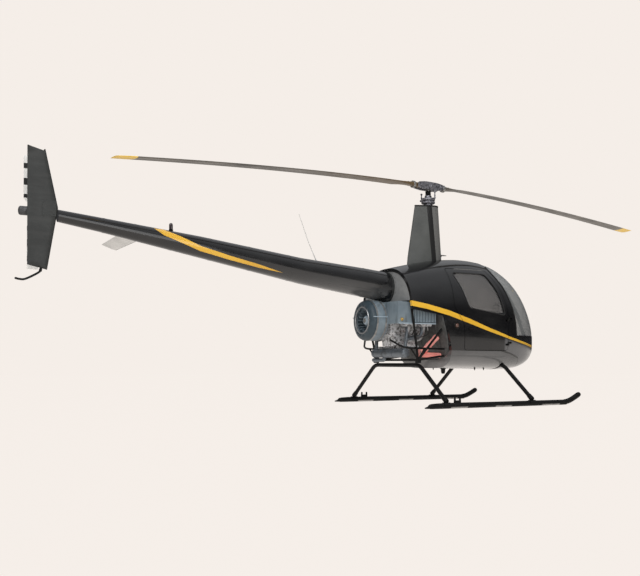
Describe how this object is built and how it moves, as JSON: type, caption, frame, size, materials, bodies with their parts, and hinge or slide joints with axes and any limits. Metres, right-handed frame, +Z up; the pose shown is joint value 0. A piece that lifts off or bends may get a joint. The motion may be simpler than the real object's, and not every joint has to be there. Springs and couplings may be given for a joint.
{
  "type": "light two-seat helicopter on skids",
  "caption": "Light piston helicopter: bubble cabin with hinged doors, open engine bay, slim tail boom with fin and tail rotor, teetering rotor on a tall mast, tube skid gear.",
  "frame": {"origin": "on the ground, under the middle of the bounding box", "axes": "+X forward along the cabin, +Y to the aircraft's left, +Z up"},
  "size_m": [8.3799, 1.9888, 2.595],
  "materials": {
    "paint": "gloss black with gold stripe",
    "dull": "worn dark grey",
    "gear": "satin black",
    "metal": "bare",
    "steel": "bare",
    "shroud": "blue-grey laminate",
    "duct": "faded red fabric hose",
    "glass": "clear acrylic",
    "fabric": "woven",
    "trim": "satin",
    "blade": "satin grey with yellow tips",
    "pale": "faded white",
    "lens": "clear lens"
  },
  "bodies": {
    "airframe": {"cabin_tub": "paint", "cabin_roof": "paint", "aft_cowl": "paint", "firewall": "metal", "aft_bulkhead": "metal", "windshield_left": "glass", "windshield_right": "glass", "seat_base": "trim", "seat_cushion_left": "fabric", "seat_cushion_right": "fabric", "seat_back_left": "fabric", "seat_back_right": "fabric", "instrument_console": "trim", "cyclic_stick": "trim", "pedals_left": "metal", "pedals_right": "metal", "mast_fairing": "dull", "swashplate_lower": "metal", "pitot_tube": "steel", "tailcone": "paint", "tail_gearbox": "metal", "tail_fin": "dull", "tail_skid": "gear", "stabiliser": "pale", "strobe_lamp": "lens", "whip_antenna": "pale", "engine": "metal", "engine_frame": "gear", "fan_shroud": "shroud", "muffler": "steel", "intake_duct": "duct", "cross_tube_front": "gear", "cross_tube_aft": "gear", "skid_left": "gear", "skid_right": "gear", "position_lamp_left": "lens", "position_lamp_right": "lens"},
    "rotor_mast": {"mast": "steel", "swashplate_upper": "steel"},
    "rotor_head": {"rotor_hub": "steel"},
    "blade_1": {"rotor_blade_1": "blade"},
    "blade_2": {"rotor_blade_2": "blade"},
    "tail_rotor_body": {"tail_rotor": "blade"},
    "crank": {"fan_wheel": "metal"},
    "left_door": {"door_left": "paint", "door_glass_left": "glass"},
    "right_door": {"door_right": "paint", "door_glass_right": "glass"}
  },
  "joints": [
    {"name": "main_rotor_spin", "type": "hinge", "parent": "airframe", "child": "rotor_mast", "pos_m": [0.3757, 0, 2.3], "axis": [0, 0, 1], "continuous": true},
    {"name": "rotor_teeter", "type": "hinge", "parent": "rotor_mast", "child": "rotor_head", "pos_m": [0.3757, 0, 2.54], "axis": [-0.1392, 0.9903, 0], "range_deg": [-3.5, 3.5]},
    {"name": "blade_1_coning", "type": "hinge", "parent": "rotor_head", "child": "blade_1", "pos_m": [0.52424, 0.02088, 2.54], "axis": [0.1392, -0.9903, 0], "range_deg": [0, 6]},
    {"name": "blade_2_coning", "type": "hinge", "parent": "rotor_head", "child": "blade_2", "pos_m": [0.22716, -0.02088, 2.54], "axis": [-0.1392, 0.9903, 0], "range_deg": [0, 6]},
    {"name": "tail_rotor_spin", "type": "hinge", "parent": "airframe", "child": "tail_rotor_body", "pos_m": [-4.0143, 0.2, 1.9], "axis": [0, 1, 0], "continuous": true},
    {"name": "crank_spin", "type": "hinge", "parent": "airframe", "child": "crank", "pos_m": [-0.4243, 0, 0.955], "axis": [1, 0, 0], "continuous": true},
    {"name": "left_door_hinge", "type": "hinge", "parent": "airframe", "child": "left_door", "pos_m": [1.1277, 0.545, 0.84], "axis": [0, 0, -1], "range_deg": [0, 70]},
    {"name": "right_door_hinge", "type": "hinge", "parent": "airframe", "child": "right_door", "pos_m": [1.1277, -0.545, 0.84], "axis": [0, 0, 1], "range_deg": [0, 70]}
  ],
  "couplings": [
    {"joint": "tail_rotor_spin", "follows": "main_rotor_spin", "ratio": -6.4}
  ]
}
